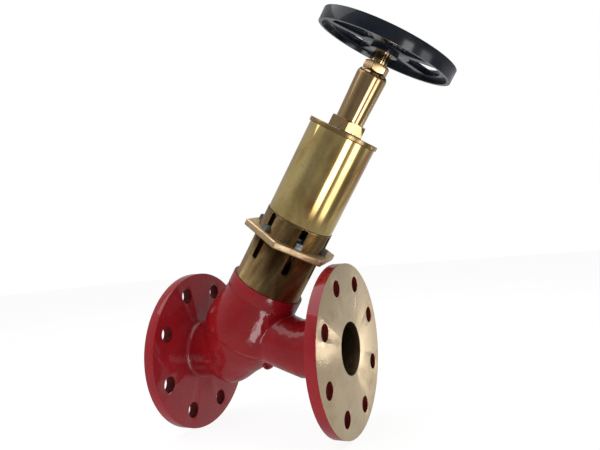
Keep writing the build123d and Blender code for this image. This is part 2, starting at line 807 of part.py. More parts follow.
# ---- handwheel -------------------------------------------------------------
web_bottom = wheel_bottom + web_recess
web_top = web_bottom + web_thickness
with BuildPart() as handwheel:
    with BuildSketch(across(wheel_bottom)):
        Circle(wheel_radius)
        Circle(wheel_radius - wheel_rim_wall, mode=Mode.SUBTRACT)
    extrude(amount=wheel_height)
    fillet(handwheel.edges().filter_by(GeomType.CIRCLE), wheel_rim_rounding)
    with BuildSketch(across(web_bottom)):
        Circle(wheel_radius - wheel_rim_wall / 2)
    extrude(amount=web_thickness)
    with BuildSketch(across(web_bottom)) as wheel_windows:
        Circle(window_outer_radius)
        Circle(window_inner_radius, mode=Mode.SUBTRACT)
        with PolarLocations(0, spoke_count, start_angle=spoke_angle):
            Rectangle(
                wheel_radius,
                spoke_width,
                align=(Align.MIN, Align.CENTER),
                mode=Mode.SUBTRACT,
            )
        fillet(wheel_windows.vertices(), window_corner)
    extrude(amount=web_thickness, mode=Mode.SUBTRACT)
    with BuildSketch(across(wheel_bottom)):
        Circle(hub_radius)
    extrude(amount=hub_height)
    with BuildSketch(across(wheel_bottom)):
        Rectangle(wheel_square + 2 * face_gap, wheel_square + 2 * face_gap)
    extrude(amount=hub_height, mode=Mode.SUBTRACT)
handwheel.part.label = "handwheel"
export_step(handwheel.part, "parts/handwheel.step")

with BuildPart() as wheel_washer:
    with BuildSketch(across(hub_top)):
        Circle(wheel_washer_radius)
        Circle(wheel_stud_radius + face_gap, mode=Mode.SUBTRACT)
    extrude(amount=wheel_washer_thickness)
wheel_washer.part.label = "wheel_washer"
export_step(wheel_washer.part, "parts/wheel_washer.step")

with BuildPart() as wheel_nut:
    with BuildSketch(across(wheel_nut_bottom)):
        RegularPolygon(across_corners(wheel_nut_flats), 6)
    extrude(amount=wheel_nut_height)
    chamfer(wheel_nut.edges().filter_by(stem_axis, reverse=True), 0.8)
    with BuildSketch(across(wheel_nut_bottom)):
        Circle(wheel_stud_radius + face_gap)
    extrude(amount=wheel_nut_height, mode=Mode.SUBTRACT)
wheel_nut.part.label = "wheel_nut"
export_step(wheel_nut.part, "parts/wheel_nut.step")
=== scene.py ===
# %% [markdown]
# # An oblique flanged globe valve, finished in Blender
# The working model of the valve comes in first, as a fixed frame. Every piece of it already
# sits where it works, in metres, so this lesson never moves anything. It only makes the shapes
# that a machinist or a foundry would leave softer or finer than a plain model has them, and it
# gives each one the finish of its own trade: enamel, sand casting, lathe work, polish.

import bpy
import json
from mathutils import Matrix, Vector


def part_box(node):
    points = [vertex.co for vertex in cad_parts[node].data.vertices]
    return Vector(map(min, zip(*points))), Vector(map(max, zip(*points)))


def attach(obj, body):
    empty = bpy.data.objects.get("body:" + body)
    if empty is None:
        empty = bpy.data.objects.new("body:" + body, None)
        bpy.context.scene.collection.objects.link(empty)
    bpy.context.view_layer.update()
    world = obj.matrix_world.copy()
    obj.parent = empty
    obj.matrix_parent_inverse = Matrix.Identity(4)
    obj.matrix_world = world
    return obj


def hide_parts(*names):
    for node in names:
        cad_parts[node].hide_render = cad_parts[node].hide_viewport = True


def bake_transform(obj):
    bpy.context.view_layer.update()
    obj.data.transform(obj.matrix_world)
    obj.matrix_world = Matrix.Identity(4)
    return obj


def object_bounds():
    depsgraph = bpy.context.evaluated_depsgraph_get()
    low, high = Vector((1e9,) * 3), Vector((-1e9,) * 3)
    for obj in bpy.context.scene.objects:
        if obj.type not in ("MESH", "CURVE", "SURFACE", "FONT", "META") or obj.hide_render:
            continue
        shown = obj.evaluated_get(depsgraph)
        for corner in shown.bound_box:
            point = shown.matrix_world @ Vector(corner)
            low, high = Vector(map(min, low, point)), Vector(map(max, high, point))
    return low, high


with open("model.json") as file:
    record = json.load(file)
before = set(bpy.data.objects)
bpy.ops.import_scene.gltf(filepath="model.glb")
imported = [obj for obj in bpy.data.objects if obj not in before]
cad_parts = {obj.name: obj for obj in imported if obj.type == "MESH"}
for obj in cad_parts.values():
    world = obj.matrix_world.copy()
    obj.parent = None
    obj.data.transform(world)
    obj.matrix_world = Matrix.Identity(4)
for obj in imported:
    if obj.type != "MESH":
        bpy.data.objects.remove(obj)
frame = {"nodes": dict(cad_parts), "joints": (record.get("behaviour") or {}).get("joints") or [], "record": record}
plain_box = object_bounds()

# %% The tools of the lesson
import json
import math

import bmesh
import bpy
import numpy as np
from mathutils import Matrix, Vector, noise

mm = 0.001
print("one millimetre is", mm, "of the scene's metres")

# %% [markdown]
# The stem of this valve leans over towards the outlet, and most pieces are turned about it.
# It would be hard work to place round pieces along a leaning line in world coordinates. So the
# line is read once from the handwheel's own joint, and every turned piece is made upright, with
# its distance along the stem as its height. One matrix then leans them all over together.

# %% Find the stem line
wheel_joint = next(j for j in frame["joints"] if j["name"] == "spindle_turn")
stem_up = Vector(wheel_joint["axis"]).normalized()
on_stem = Vector(wheel_joint["pos_m"])
stem_foot = on_stem - stem_up * (on_stem.z / stem_up.z)
stem_front = Vector((0, -1, 0))
stem_side = stem_up.cross(stem_front)
lean = Matrix((stem_front, stem_side, stem_up)).transposed().to_4x4()
lean.translation = stem_foot
unlean = lean.inverted()
print("the stem leaves the pipe line at x =", round(stem_foot.x / mm, 1), "mm")


# %% Measure a node along the stem
def measured(name):
    """Distance along the stem, distance from it, and angle round it, of a node's points, in mm."""
    points = np.array([unlean @ v.co for v in frame["nodes"][name].data.vertices]) / mm
    around = np.degrees(np.arctan2(points[:, 1], points[:, 0]))
    return points[:, 2], np.hypot(points[:, 0], points[:, 1]), around


def span(name):
    """The lowest and highest station of a node along the stem."""
    along, _, _ = measured(name)
    return float(along.min()), float(along.max())


def reach(name, low=-1e9, high=1e9):
    """The largest distance from the stem between two stations."""
    along, out, _ = measured(name)
    return float(out[(along >= low - 0.01) & (along <= high + 0.01)].max())


def hollow(name, low=-1e9, high=1e9):
    """The smallest distance from the stem between two stations."""
    along, out, _ = measured(name)
    return float(out[(along >= low - 0.01) & (along <= high + 0.01)].min())


for part in ("spring_barrel", "adjusting_ring", "cover_sleeve", "top_cap", "bonnet", "handwheel"):
    part_low, part_high = span(part)
    print(part, "from", round(part_low, 1), "to", round(part_high, 1), "out to", round(reach(part), 1))
outlet_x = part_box("outlet_flange")[1].x / mm
flange_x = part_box("inlet_flange")[1].x / mm
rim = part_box("inlet_flange")[1].y / mm
print("flanges:", round(rim, 1), "mm radius,", round(flange_x, 1), "mm thick,", round(outlet_x, 1), "apart")

# %% [markdown]
# The camera stands a little in front of the valve and low, and is tipped a few degrees, so the
# stem points up and away. Its three directions are given straight away as the columns of its
# matrix, which says more than three angles would. A small shift sets the valve in the frame.

# %% Camera
camera = bpy.data.objects.new("camera", bpy.data.cameras.new("camera"))
bpy.context.scene.collection.objects.link(camera)
looking = Vector((-0.42083, 0.90194, 0.09701)).normalized()
camera_up = Vector((0.11394, -0.05354, 0.99204))
camera_right = looking.cross(camera_up).normalized()
camera_up = camera_right.cross(looking)
pose = Matrix((camera_right, camera_up, -looking)).transposed().to_4x4()
pose.translation = Vector((0.41845, -0.53756, 0.10397))
camera.matrix_world = pose
camera.data.sensor_width = 36
camera.data.lens = 30.975
camera.data.shift_x = -0.00946
camera.data.shift_y = -0.03253
camera.data.clip_start = 0.01
bpy.context.scene.camera = camera
print("camera stands at", [round(c, 3) for c in camera.location])

# %% [markdown]
# A finish is a small net of nodes. Only a few kinds are wanted again and again: a noise that
# wanders over the surface, a ramp that turns it into colours, and a bump that turns it into
# relief. These helpers add one node each and wire up whatever is handed to them.


# %% Helpers for finishes
def finish_named(name, **plain):
    """A new material with its main shader; the plain values go straight on the shader's sockets."""
    finish = bpy.data.materials.new(name)
    finish.use_nodes = True
    shader = finish.node_tree.nodes["Principled BSDF"]
    for socket, value in plain.items():
        shader.inputs[socket.replace("_", " ")].default_value = value
    return finish, finish.node_tree, shader


def put(tree, kind, inputs=(), **settings):
    """Adds one node. inputs pairs a socket's name or number with a value, or with an output to wire in."""
    made = tree.nodes.new("ShaderNode" + kind)
    for key, value in settings.items():
        setattr(made, key, value)
    for key, value in dict(inputs).items():
        if isinstance(value, bpy.types.NodeSocket):
            tree.links.new(value, made.inputs[key])
        else:
            made.inputs[key].default_value = value
    return made


def where(tree):
    """The point on the piece itself, so that the pattern moves with it."""
    return put(tree, "TexCoord").outputs["Object"]


def stretched(tree, scale):
    """The same point with each of its axes stretched by its own amount."""
    return put(tree, "Mapping", {"Vector": where(tree), "Scale": scale}).outputs[0]


def cloud(tree, scale, detail=4.0, rough=0.55, at=None, twist=0.0):
    """A wandering value from 0 to 1; scale is in clouds per metre."""
    inputs = {"Vector": at or where(tree), "Scale": scale, "Detail": detail, "Roughness": rough}
    inputs["Distortion"] = twist
    return put(tree, "TexNoise", inputs).outputs["Fac"]


def shades(tree, value, *stops):
    """Turns a value into colours; each stop is a position and a colour."""
    ramp = put(tree, "ValToRGB", {"Fac": value})
    marks = ramp.color_ramp.elements
    while len(marks) < len(stops):
        marks.new(0.5)
    for mark, (position, colour) in zip(marks, stops):
        mark.position = position
        mark.color = (*colour, 1) if len(colour) == 3 else colour
    return ramp.outputs["Color"]


def between(tree, value, low, high, to_low=0.0, to_high=1.0):
    """Stretches a value from one range to another and stops it at the ends."""
    inputs = {"Value": value, 1: low, 2: high, 3: to_low, 4: to_high}
    return put(tree, "MapRange", inputs, interpolation_type="SMOOTHSTEP").outputs[0]


def blend_of(tree, share, first, second):
    """One colour fading into another by share."""
    made = put(tree, "Mix", {0: share, 6: first, 7: second}, data_type="RGBA")
    return made.outputs[2]


def sum_of(tree, a, b, operation="ADD"):
    """Two values added, or put together by another sum."""
    return put(tree, "Math", {0: a, 1: b}, operation=operation).outputs[0]


def relief(tree, shader, height, depth, under=None):
    """Raises the surface by height times depth, in metres, on top of any relief under it."""
    inputs = {"Height": height, "Distance": depth, "Strength": 1.0}
    if under is not None:
        inputs["Normal"] = under
    made = put(tree, "Bump", inputs)
    tree.links.new(made.outputs["Normal"], shader.inputs["Normal"])
    return made.outputs["Normal"]


print("helpers ready")

# %% [markdown]
# Enamel on a casting is two surfaces at once. Underneath is the sand-cast skin, with bumps a few
# millimetres wide. On top lies a glossy coat that has flowed over them and gone slightly uneven,
# like orange peel. The coat has its own socket on the shader, so the colour below can stay deep
# and a little mottled while the highlights on top stay hard.


# %% Red enamel
peel_depth = 0.000006


def enamel(name, deep, light, cast_depth, coat=0.8):
    """Glossy paint between two shades over a skin with bumps of cast_depth metres."""
    finish, tree, shader = finish_named(
        name, Coat_Weight=coat, Coat_Roughness=0.05, Coat_IOR=1.5, Specular_IOR_Level=0.25 * coat
    )
    patches = cloud(tree, 26, 3, 0.5)
    tree.links.new(shades(tree, patches, (0.3, deep), (0.72, light)), shader.inputs["Base Color"])
    tree.links.new(between(tree, cloud(tree, 160, 3), 0.3, 0.7, 0.22, 0.38), shader.inputs["Roughness"])
    skin = relief(tree, shader, cloud(tree, 130, 2, 0.4), cast_depth)
    peel = relief(tree, shader, cloud(tree, 700, 1, 0.4), peel_depth, skin)
    tree.links.new(peel, shader.inputs["Coat Normal"])
    return finish


red_cast = enamel("red_enamel_on_casting", (0.23, 0.004, 0.008), (0.31, 0.007, 0.012), 0.00042)
red_flat = enamel("red_enamel_on_flange", (0.27, 0.008, 0.014), (0.35, 0.012, 0.020), 0.00004)
# The bolt holes get a thin red that is much darker. The darkness is painted shade for the inside of the holes.
shaded_red_hole = enamel("thin_shaded_red_in_bolt_holes", (0.07, 0.008, 0.008), (0.16, 0.012, 0.012), 0.0003, 0.1)
print("enamels:", red_cast.name, red_flat.name, shaded_red_hole.name)

# %% [markdown]
# The jointing face of a flange is faced on a lathe after painting, so it is bare metal covered in
# fine rings about the bore. Rings are a wave pattern in the distance from the pipe's centre line.
# The little grooves stretch the light across themselves, which is why a turned face shows a
# bright wedge instead of a round spot: that is the anisotropic socket, with a tangent that runs
# round the same centre.


# %% Turned flange face
groove_pitch, groove_depth, groove_wander = 0.0014, 0.000012, 0.0012


def faced(name, pale, dark, roughness):
    """Bare metal with fine turned rings round its own Z axis and stains between two shades."""
    finish, tree, shader = finish_named(name, Metallic=1.0, Anisotropic=0.85, Anisotropic_Rotation=0.25)
    across = put(tree, "VectorMath", {0: where(tree), 1: (1.0, 1.0, 0.0)}, operation="MULTIPLY").outputs[0]
    out = put(tree, "VectorMath", {0: across}, operation="LENGTH").outputs["Value"]
    wander = sum_of(tree, cloud(tree, 30, 2), groove_wander, "MULTIPLY")
    ring = sum_of(tree, sum_of(tree, out, wander), 2 * math.pi / groove_pitch, "MULTIPLY")
    groove = put(tree, "Math", {0: ring}, operation="SINE").outputs[0]
    stain = cloud(tree, 34, 6, 0.62, twist=0.3)
    colour = shades(tree, stain, (0.25, dark), (0.45, pale), (0.75, tuple(c * 1.06 for c in pale)))
    along_radius = put(tree, "CombineXYZ", {0: sum_of(tree, out, 900, "MULTIPLY")}).outputs[0]
    bands = cloud(tree, 1.0, 2, 0.7, at=along_radius)
    toned = blend_of(tree, between(tree, bands, 0.35, 0.7, 0.0, 0.35), colour, (*dark, 1))
    tree.links.new(toned, shader.inputs["Base Color"])
    tree.links.new(between(tree, stain, 0.3, 0.7, roughness + 0.12, roughness), shader.inputs["Roughness"])
    turned = put(tree, "Tangent", direction_type="RADIAL", axis="Z").outputs[0]
    tree.links.new(turned, shader.inputs["Tangent"])
    relief(tree, shader, groove, groove_depth)
    return finish


bare_face = faced("turned_flange_face", (0.88, 0.70, 0.46), (0.62, 0.47, 0.29), 0.26)
print("flange face:", bare_face.name)


# %% [markdown]
# The brass pieces differ less in colour than in how they were made and how long they were
# handled. One pattern serves them all: a stretched stain that runs along the piece sets both the
# colour and the roughness, since tarnish dulls what it darkens. Each piece then gets its own
# three colours, its own roughness and, where it came off a lathe, the anisotropic sheen.


# %% Brass and bronze, from the same pattern
def brass(name, light, mid, dark, rough, smear, scale=20, stretch=(1, 1, 0.25), around=0.0):
    """A metal with tarnish. rough is its range of roughness; a small smear makes the tarnish show more."""
    finish, tree, shader = finish_named(name, Metallic=1.0, Anisotropic=around, Anisotropic_Rotation=0.25)
    tarnish = cloud(tree, scale, 6, 0.62, at=stretched(tree, stretch), twist=0.4)
    low, high = 0.5 - smear, 0.5 + smear
    tone = shades(tree, tarnish, (max(low, 0), dark), (0.5, mid), (min(high, 1), light))
    fine = cloud(tree, 260, 3, 0.6)
    specked = blend_of(tree, between(tree, fine, 0.5, 0.8, 0, 0.35), tone, (*dark, 1))
    tree.links.new(specked, shader.inputs["Base Color"])
    tree.links.new(between(tree, tarnish, 0.35, 0.65, rough[1], rough[0]), shader.inputs["Roughness"])
    if around:
        turned = put(tree, "Tangent", direction_type="RADIAL", axis="Z").outputs[0]
        tree.links.new(turned, shader.inputs["Tangent"])
    return finish, tree, shader


sleeve_brass, tree, shader = brass(
    "polished_tarnished_brass", (0.90, 0.73, 0.34), (0.82, 0.62, 0.25), (0.44, 0.25, 0.09), (0.05, 0.12),
    0.14, 13, (1, 1, 0.45),
)
relief(tree, shader, cloud(tree, 40, 2, at=stretched(tree, (1, 1, 0.15))), 0.00025)
threaded_brass = brass(
    "threaded_barrel_brass", (0.52, 0.38, 0.18), (0.32, 0.22, 0.10), (0.13, 0.08, 0.04), (0.28, 0.42), 0.2, 30
)[0]
sand_brass, tree, shader = brass(
    "sand_cast_brass", (0.90, 0.70, 0.45), (0.82, 0.60, 0.35), (0.55, 0.36, 0.18), (0.42, 0.6),
    0.32, 55, (1, 1, 1),
)
relief(tree, shader, cloud(tree, 900, 4, 0.7), 0.00018)
cap_bronze = brass(
    "brown_cap_bronze", (0.66, 0.48, 0.24), (0.50, 0.34, 0.15), (0.26, 0.16, 0.08), (0.16, 0.32), 0.3, 45,
    around=0.4,
)[0]
bonnet_bronze = brass(
    "turned_bonnet_bronze", (0.70, 0.50, 0.28), (0.56, 0.38, 0.19), (0.30, 0.19, 0.10), (0.10, 0.22), 0.3, 50,
    around=0.5,
)[0]
inside_brass = brass(
    "unseen_turned_brass", (0.60, 0.46, 0.24), (0.50, 0.36, 0.18), (0.30, 0.20, 0.10), (0.3, 0.45), 0.3, 60
)[0]
# The bore brass is bare bronze made much darker than the other brasses. The extra darkness is painted shade for
# the inside of bores and chambers.
shaded_bore_brass = brass(
    "dull_bore_brass", (0.30, 0.22, 0.13), (0.22, 0.15, 0.09), (0.12, 0.08, 0.05), (0.45, 0.6), 0.3, 60
)[0]
print("brasses made")


# %% [markdown]
# The rest of the finishes are plainer: one cloud between two shades, a second one for the
# roughness and a finer one for the relief. Only the numbers tell enamel from zinc or rubber.


# %% Wheel enamel, steel, rubber, fibre and packing
def plain_stuff(name, light, dark, rough, scale, depth, **plain):
    """A finish clouded between two shades, scale clouds to the metre, with relief depth metres deep."""
    finish, tree, shader = finish_named(name, **plain)
    tone = shades(tree, cloud(tree, scale, 5), (0.3, dark), (0.7, light))
    tree.links.new(tone, shader.inputs["Base Color"])
    tree.links.new(between(tree, cloud(tree, scale * 2.3, 3), 0.3, 0.7, *rough), shader.inputs["Roughness"])
    relief(tree, shader, cloud(tree, scale * 9, 3), depth)
    return finish


# The black enamel carries a faint blue, which is a painted bluish sheen.
black_wheel = plain_stuff(
    "black_wheel_enamel_with_blue_sheen", (0.007, 0.011, 0.020), (0.003, 0.004, 0.008), (0.2, 0.34), 50, 0.000008,
    Coat_Weight=0.5, Coat_Roughness=0.06, Specular_IOR_Level=0.2,
)
zinc_steel = plain_stuff(
    "zinc_plated_steel", (0.34, 0.35, 0.36), (0.22, 0.23, 0.25), (0.42, 0.6), 90, 0.00003, Metallic=1.0
)
oiled_spring = plain_stuff(
    "oiled_spring_steel", (0.10, 0.10, 0.11), (0.05, 0.05, 0.05), (0.2, 0.4), 80, 0.00003, Metallic=1.0
)
black_rubber = plain_stuff(
    "black_rubber", (0.035, 0.035, 0.035), (0.02, 0.02, 0.02), (0.6, 0.8), 120, 0.00004
)
pressed_fibre = plain_stuff("pressed_fibre", (0.30, 0.32, 0.29), (0.18, 0.20, 0.18), (0.7, 0.9), 300, 0.00008)
woven_packing = plain_stuff("woven_packing", (0.85, 0.84, 0.78), (0.6, 0.58, 0.5), (0.6, 0.8), 400, 0.0001)
print("other finishes made")

# %% [markdown]
# Most visible pieces of this valve are turned, so one helper does most of the work: it takes the
# outline of a piece, as radius and height in millimetres, softens every corner with a small
# arc as a lathe hand breaks an edge, and spins it round. A second helper stands a flat outline
# up into a prism, for hexagons and for the cutters that shape them.


# %% Helpers for shapes
def softened(outline, radius, steps=3):
    """The outline with each corner cut by a small curve, radius or as much as its sides allow."""
    points = [Vector(p) for p in outline]
    made = []
    for before, corner, after in zip(points[-1:] + points[:-1], points, points[1:] + points[:1]):
        back, on = before - corner, after - corner
        cut = min(radius, back.length * 0.45, on.length * 0.45)
        start, end = corner + back.normalized() * cut, corner + on.normalized() * cut
        for step in range(steps + 1):
            t = step / steps
            made.append((1 - t) ** 2 * start + 2 * t * (1 - t) * corner + t**2 * end)
    return [tuple(p) for p in made]


def piece_from(name, grid, finish, leaning=True):
    """A new object from a bmesh, smooth, with edges over 40 degrees kept sharp."""
    mesh = bpy.data.meshes.new(name)
    bmesh.ops.recalc_face_normals(grid, faces=grid.faces)
    grid.to_mesh(mesh)
    grid.free()
    mesh.shade_smooth()
    mesh.set_sharp_from_angle(angle=math.radians(40))
    mesh.materials.append(finish)
    made = bpy.data.objects.new(name, mesh)
    bpy.context.scene.collection.objects.link(made)
    if leaning:
        made.matrix_world = lean
    bpy.context.view_layer.update()
    return made


def oblong(near, far, low, high):
    """The four corners of a plain outline, such as the section of a tube."""
    return [(near, low), (far, low), (far, high), (near, high)]


def bar(grid, near, far):
    """Adds a closed bar to a bmesh, between two outlines of points in metres that match one to one."""
    ends = [[grid.verts.new(point) for point in outline] for outline in (near, far)]
    grid.faces.new(ends[0][::-1])
    grid.faces.new(ends[1])
    for k in range(len(near)):
        j = (k + 1) % len(near)
        grid.faces.new([ends[0][k], ends[0][j], ends[1][j], ends[1][k]])


print("outline helpers ready")

# %% Turned and upright blanks
touching = 1e-7


def turned(name, outline, finish, around=192, leaning=True):
    """Spins a closed outline of (radius, height) in mm about the upright axis."""
    grid = bmesh.new()
    rings = []
    for turn in range(around):
        angle = 2 * math.pi * turn / around
        across, along = math.cos(angle), math.sin(angle)
        rings.append([grid.verts.new((r * across * mm, r * along * mm, h * mm)) for r, h in outline])
    for here, there in zip(rings, rings[1:] + rings[:1]):
        for k in range(len(outline)):
            j = (k + 1) % len(outline)
            corners = [here[k], there[k], there[j], here[j]]
            if (corners[0].co - corners[1].co).length < touching:
                corners = corners[1:]
            if (corners[-1].co - corners[-2].co).length < touching:
                corners = corners[:-1]
            if len(corners) > 2:
                grid.faces.new(corners)
    bmesh.ops.remove_doubles(grid, verts=grid.verts, dist=touching)
    return piece_from(name, grid, finish, leaning)


def prism(name, corners, low, high, finish, leaning=True):
    """Stands a flat outline of (front, side) in mm up between two heights."""
    grid = bmesh.new()
    foot, roof = [[(x * mm, y * mm, height * mm) for x, y in corners] for height in (low, high)]
    bar(grid, foot, roof)
    return piece_from(name, grid, finish, leaning)


print("blank helpers ready")


# %% Cutting, edging and handing over
def baked(piece):
    """Turns a piece's modifiers into plain mesh."""
    settled = piece.evaluated_get(bpy.context.evaluated_depsgraph_get())
    mesh = bpy.data.meshes.new_from_object(settled)
    piece.modifiers.clear()
    piece.data = mesh
    return piece


def cut(piece, cutter, operation="DIFFERENCE"):
    """Cuts one piece with another, which is used up."""
    step = piece.modifiers.new("cut", "BOOLEAN")
    step.operation = operation
    step.solver = "EXACT"
    step.object = cutter
    baked(piece)
    bpy.data.objects.remove(cutter)
    return piece


def edged(piece, width, steps=3, angle=35):
    """Rounds every sharp edge by width in mm."""
    step = piece.modifiers.new("edge", "BEVEL")
    step.width = width * mm
    step.segments = steps
    step.limit_method = "ANGLE"
    step.angle_limit = math.radians(angle)
    step.harden_normals = False
    baked(piece)
    piece.data.shade_smooth()
    piece.data.set_sharp_from_angle(angle=math.radians(40))
    return piece


def hexagon(flats, turn=0.0, sides=6):
    """The corners of a hexagon by its distance across flats."""
    out = flats / 2 / math.cos(math.pi / sides)
    angles = [math.radians(turn) + 2 * math.pi * k / sides for k in range(sides)]
    return [(out * math.cos(angle), out * math.sin(angle)) for angle in angles]


def stands_for(piece, node, body):
    """The piece replaces a node of the frame and rides on its body."""
    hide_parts(node)
    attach(piece, body)
    return piece


print("shape helpers ready")

# %% [markdown]
# A flange is a plain disc, but what the eye reads is its edges: the rim, the bore and the eight
# bolt holes all have a small break. The holes are cut from the disc first, and then every sharp
# edge is rounded in one go. The jointing face is bare metal; all the rest is enamelled.

# %% Flanges
flange_edge, cutter_spare = 0.7, 5
pipe = Matrix(((0, -1, 0), (0, 0, -1), (1, 0, 0))).transposed().to_4x4()
bolts = next(m for m in frame["record"]["mounts"] if m["name"] == "inlet_bolts")["dims"]
bore = next(m for m in frame["record"]["mounts"] if m["name"] == "inlet_bore")["dims"]["r_mm"]


def hole_cutters(name, low, high):
    """The eight bolt holes as one cutter."""
    grid = bmesh.new()
    for k in range(bolts["count"]):
        angle = 2 * math.pi * (k + 0.5) / bolts["count"]
        centre = Vector((math.cos(angle), math.sin(angle), 0)) * bolts["pcd_mm"] / 2 * mm
        place = Matrix.Translation(centre + Vector((0, 0, (low + high) / 2 * mm)))
        bmesh.ops.create_cone(
            grid, cap_ends=True, segments=64, depth=(high - low) * mm, matrix=place,
            radius1=bolts["hole_r_mm"] * mm, radius2=bolts["hole_r_mm"] * mm,
        )
    return piece_from(name, grid, red_flat, leaning=False)


def flange(name, low, bare_side):
    """One flange disc between two stations of the pipe, its jointing face left bare."""
    disc = turned(name, oblong(bore, rim, low, low + flange_x), red_flat, around=256, leaning=False)
    cut(disc, hole_cutters("holes", low - cutter_spare, low + flange_x + cutter_spare))
    edged(disc, flange_edge)
    for finish in (bare_face, shaded_bore_brass, shaded_red_hole):
        disc.data.materials.append(finish)
    for face in disc.data.polygons:
        out = math.hypot(face.center.x, face.center.y) / mm
        if face.normal.z * bare_side > 0.9:
            face.material_index = 1
        # The bore takes the dark brass, which is darkened with painted shade.
        elif out < bore + 0.4:
            face.material_index = 2
        # Hole walls take the dark red, which is darkened with painted shade.
        elif out < rim - 3 and abs(face.normal.z) < 0.6:
            face.material_index = 3
    disc.matrix_world = pipe
    bpy.context.view_layer.update()
    print(name, len(disc.data.polygons), "faces")
    return disc


stands_for(flange("inlet_disc", 0.0, -1), "inlet_flange", "valve")
stands_for(flange("outlet_disc", outlet_x - flange_x, 1), "outlet_flange", "valve")

# %% [markdown]
# A sand casting has no sharp inside corners: metal will not fill them, so the pattern maker
# rounds them all. The frame's body is made of plain solids that meet at sharp lines. Rebuilding
# its skin from small cubes and then smoothing it melts those lines into fillets, most of all
# where the outlet duct runs into the chamber, and little elsewhere. A slow wander of a fraction
# of a millimetre then gives it the unevenness of sand. Both pipe ends are let a little way into
# their flanges first, so that no gap can open there.


# %% Casting helper
def cast(piece, grain, passes, wander, size, hold=None):
    """Rebuilds the skin in cubes of grain mm, smooths it by the share hold gives, and lets it wander."""
    step = piece.modifiers.new("skin", "REMESH")
    step.mode = "VOXEL"
    step.voxel_size = grain * mm
    baked(piece)
    step = piece.modifiers.new("melt", "SMOOTH")
    step.factor = 0.5
    step.iterations = passes
    if hold is not None:
        group = piece.vertex_groups.new(name="melt")
        for vert in piece.data.vertices:
            group.add([vert.index], hold(vert.co), "REPLACE")
        step.vertex_group = group.name
    baked(piece)
    piece.vertex_groups.clear()
    normals = [v.normal.copy() for v in piece.data.vertices]
    for vert, normal in zip(piece.data.vertices, normals):
        vert.co += normal * noise.noise(vert.co / (size * mm)) * wander * mm
    piece.data.shade_smooth()
    return piece


print("casting helper ready")

# %% Where the outlet duct runs
duct_from, duct_to = Vector((104.0, 0, 18.0)), Vector((150.0, 0, 0.0))
duct_out, duct_reach, chamber_nearest, chamber_farthest = 33, 7, 36, 58
full_share, small_share = 1.0, 0.22


def outlet_distance(at):
    """Distance in mm from the slanting line of the outlet duct, or from the pipe line past its end."""
    share = (at - duct_from).dot(duct_to - duct_from) / (duct_to - duct_from).length_squared
    if share > 1:
        return math.hypot(at.y, at.z)
    return (at - duct_from - (duct_to - duct_from) * share).length


def melt_share(point):
    """Full smoothing where the outlet meets the chamber, a little elsewhere."""
    at, leant = point / mm, unlean @ point / mm
    out = math.hypot(leant.x, leant.y)
    near = abs(outlet_distance(at) - duct_out) < duct_reach and chamber_nearest < out < chamber_farthest
    return full_share if near else small_share


print("the outlet duct falls", duct_from.z - duct_to.z, "mm")

# %% Body casting, joined and recast
castings = ["valve_body", "body_bowl", "outlet_elbow", "inlet_neck", "outlet_neck", "body_neck"]
into_flange = 4.0
body = None
for name in castings:
    part = bpy.data.objects.new("body_casting", frame["nodes"][name].data.copy())
    bpy.context.scene.collection.objects.link(part)
    for vert in part.data.vertices:
        if vert.co.x < (flange_x + 0.05) * mm:
            vert.co.x = (flange_x - into_flange) * mm
        elif vert.co.x > (outlet_x - flange_x - 0.05) * mm:
            vert.co.x = (outlet_x - flange_x + into_flange) * mm
    bpy.context.view_layer.update()
    body = part if body is None else cut(body, part, "UNION")
cast(body, grain=0.9, passes=12, wander=0.18, size=8, hold=melt_share)
print("body casting:", len(body.data.polygons), "faces")

# %% [markdown]
# Melting also takes away two lines that should stay. A crease runs round the chamber low down,
# where two halves of the pattern met, so a shallow groove is pressed back in. The machined band
# of the neck is crisp, so the skin is drawn in there to make room for a turned band of its own.

# %% Crease and room for the neck band
neck_top = span("body_neck")[1]
crease_high, crease_wide, crease_deep = 18.5, 1.6, 1.3
band_out, band_tall, under_band = 43.9, 16.0, 43.0
for vert in body.data.vertices:
    at, leant = vert.co / mm, unlean @ vert.co / mm
    out = math.hypot(leant.x, leant.y)
    if out > 44 and abs(leant.z - crease_high) < 5 and outlet_distance(at) > 35:
        inward = (lean @ Vector((0, 0, leant.z * mm)) - vert.co).normalized()
        vert.co += inward * crease_deep * mm * math.exp(-(((leant.z - crease_high) / crease_wide) ** 2))
    elif leant.z > neck_top - band_tall - 0.3 and 42 < out < 46:
        away = Vector((leant.x, leant.y, 0)) * (under_band / out) * mm
        vert.co = lean @ (away + Vector((0, 0, min(leant.z, neck_top - 1.0) * mm)))
print("crease at", crease_high, "band under", round(neck_top, 1))

# %% [markdown]
# Enamel covers the outside only. What lies inside the pipe, the chamber or the duct is bare, so
# each face is sorted by where its middle is. The inside gets a dark brass, darkened with painted shade.

# %% Finishes of the casting
chamber_in, upper_in, chamber_step = 39.3, 41.6, 70
pipe_in, duct_in, middle_in = bore + 1.2, 29, 30.6
# Inside faces take the dark brass, which carries painted shade.
body.data.materials.clear()
for finish in (red_cast, shaded_bore_brass):
    body.data.materials.append(finish)
for face in body.data.polygons:
    at, leant = face.center / mm, unlean @ face.center / mm
    out = math.hypot(leant.x, leant.y)
    in_pipe = math.hypot(at.y, at.z) < pipe_in and (at.x < 62 or at.x > 148)
    in_chamber = 20 < leant.z and out < (chamber_in if leant.z < chamber_step else upper_in) and at.x < 150
    in_duct = at.x > 95 and leant.z > 0 and outlet_distance(at) < duct_in
    face.material_index = 1 if in_pipe or in_chamber or in_duct or leant.length < middle_in else 0
stands_for(body, "valve_body", "valve")
for name in castings[1:]:
    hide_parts(name)
print("the casting stands for", len(castings), "nodes")

